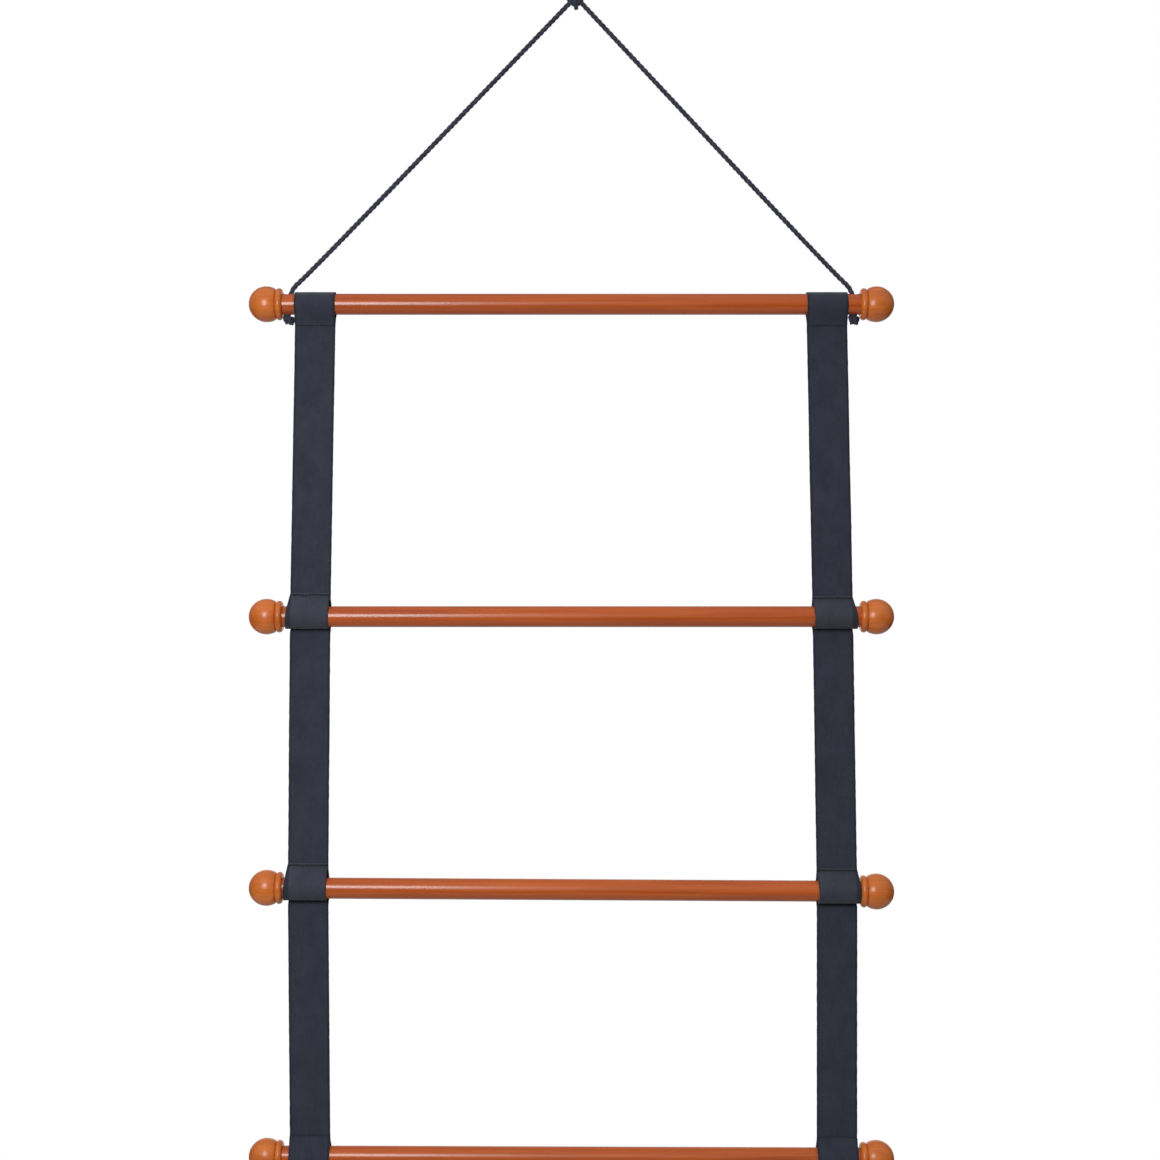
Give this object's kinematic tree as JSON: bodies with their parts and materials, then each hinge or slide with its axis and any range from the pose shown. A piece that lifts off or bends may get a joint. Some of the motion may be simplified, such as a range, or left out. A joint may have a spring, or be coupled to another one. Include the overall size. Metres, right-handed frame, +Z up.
{
  "type": "hanging rung ladder",
  "caption": "Hanging ladder of turned wooden rungs with ball ends on flat fabric straps, hung from a knotted cord loop; it folds at every rung.",
  "frame": {"origin": "inside top of the cord's hanging loop, where a hook carries the ladder", "axes": "+Z up, +X along the rungs to the right as seen from the front, +Y back towards the wall"},
  "size_m": [0.6146, 0.034, 1.1675],
  "materials": {
    "rod_wood": "semi-gloss varnish over reddish-brown stain",
    "finial_wood": "semi-gloss varnish over reddish-brown stain",
    "strap_canvas": "matt woven cotton webbing, dark navy",
    "patch_canvas": "matt woven cotton webbing, dark navy",
    "cord": "twisted cotton cord, dark navy"
  },
  "bodies": {
    "hanger": {"hanger_cord": "cord", "apex_knot": "cord", "left_stopper_knot": "cord", "right_stopper_knot": "cord", "rung_1_rod": "rod_wood", "rung_1_left_finial": "finial_wood", "rung_1_right_finial": "finial_wood"},
    "rung_2": {"rung_2_rod": "rod_wood", "rung_2_left_finial": "finial_wood", "rung_2_right_finial": "finial_wood"},
    "rung_3": {"rung_3_rod": "rod_wood", "rung_3_left_finial": "finial_wood", "rung_3_right_finial": "finial_wood"},
    "rung_4": {"rung_4_rod": "rod_wood", "rung_4_left_finial": "finial_wood", "rung_4_right_finial": "finial_wood"},
    "bay_1": {"left_strap_upper": "strap_canvas", "right_strap_upper": "strap_canvas", "left_patch_2": "patch_canvas", "right_patch_2": "patch_canvas"},
    "bay_2": {"left_strap_middle": "strap_canvas", "right_strap_middle": "strap_canvas", "left_patch_3": "patch_canvas", "right_patch_3": "patch_canvas"},
    "bay_3": {"left_strap_lower": "strap_canvas", "right_strap_lower": "strap_canvas"}
  },
  "joints": [
    {"name": "bay_1_fold", "type": "hinge", "parent": "hanger", "child": "bay_1", "pos_m": [-0.004, 0, -0.3324], "axis": [1, 0, 0], "range_deg": [-150, 150]},
    {"name": "rung_2_spin", "type": "hinge", "parent": "bay_1", "child": "rung_2", "pos_m": [-0.004, 0, -0.6299], "axis": [1, 0, 0], "continuous": true},
    {"name": "bay_2_fold", "type": "hinge", "parent": "bay_1", "child": "bay_2", "pos_m": [-0.004, 0, -0.6299], "axis": [-1, 0, 0], "range_deg": [-150, 150]},
    {"name": "rung_3_spin", "type": "hinge", "parent": "bay_2", "child": "rung_3", "pos_m": [-0.004, 0, -0.8899], "axis": [1, 0, -0.006], "continuous": true},
    {"name": "bay_3_fold", "type": "hinge", "parent": "bay_2", "child": "bay_3", "pos_m": [-0.004, 0, -0.8899], "axis": [1, 0, -0.006], "range_deg": [-150, 150]},
    {"name": "rung_4_spin", "type": "hinge", "parent": "bay_3", "child": "rung_4", "pos_m": [-0.004, 0, -1.1449], "axis": [1, 0, -0.0035], "continuous": true}
  ]
}
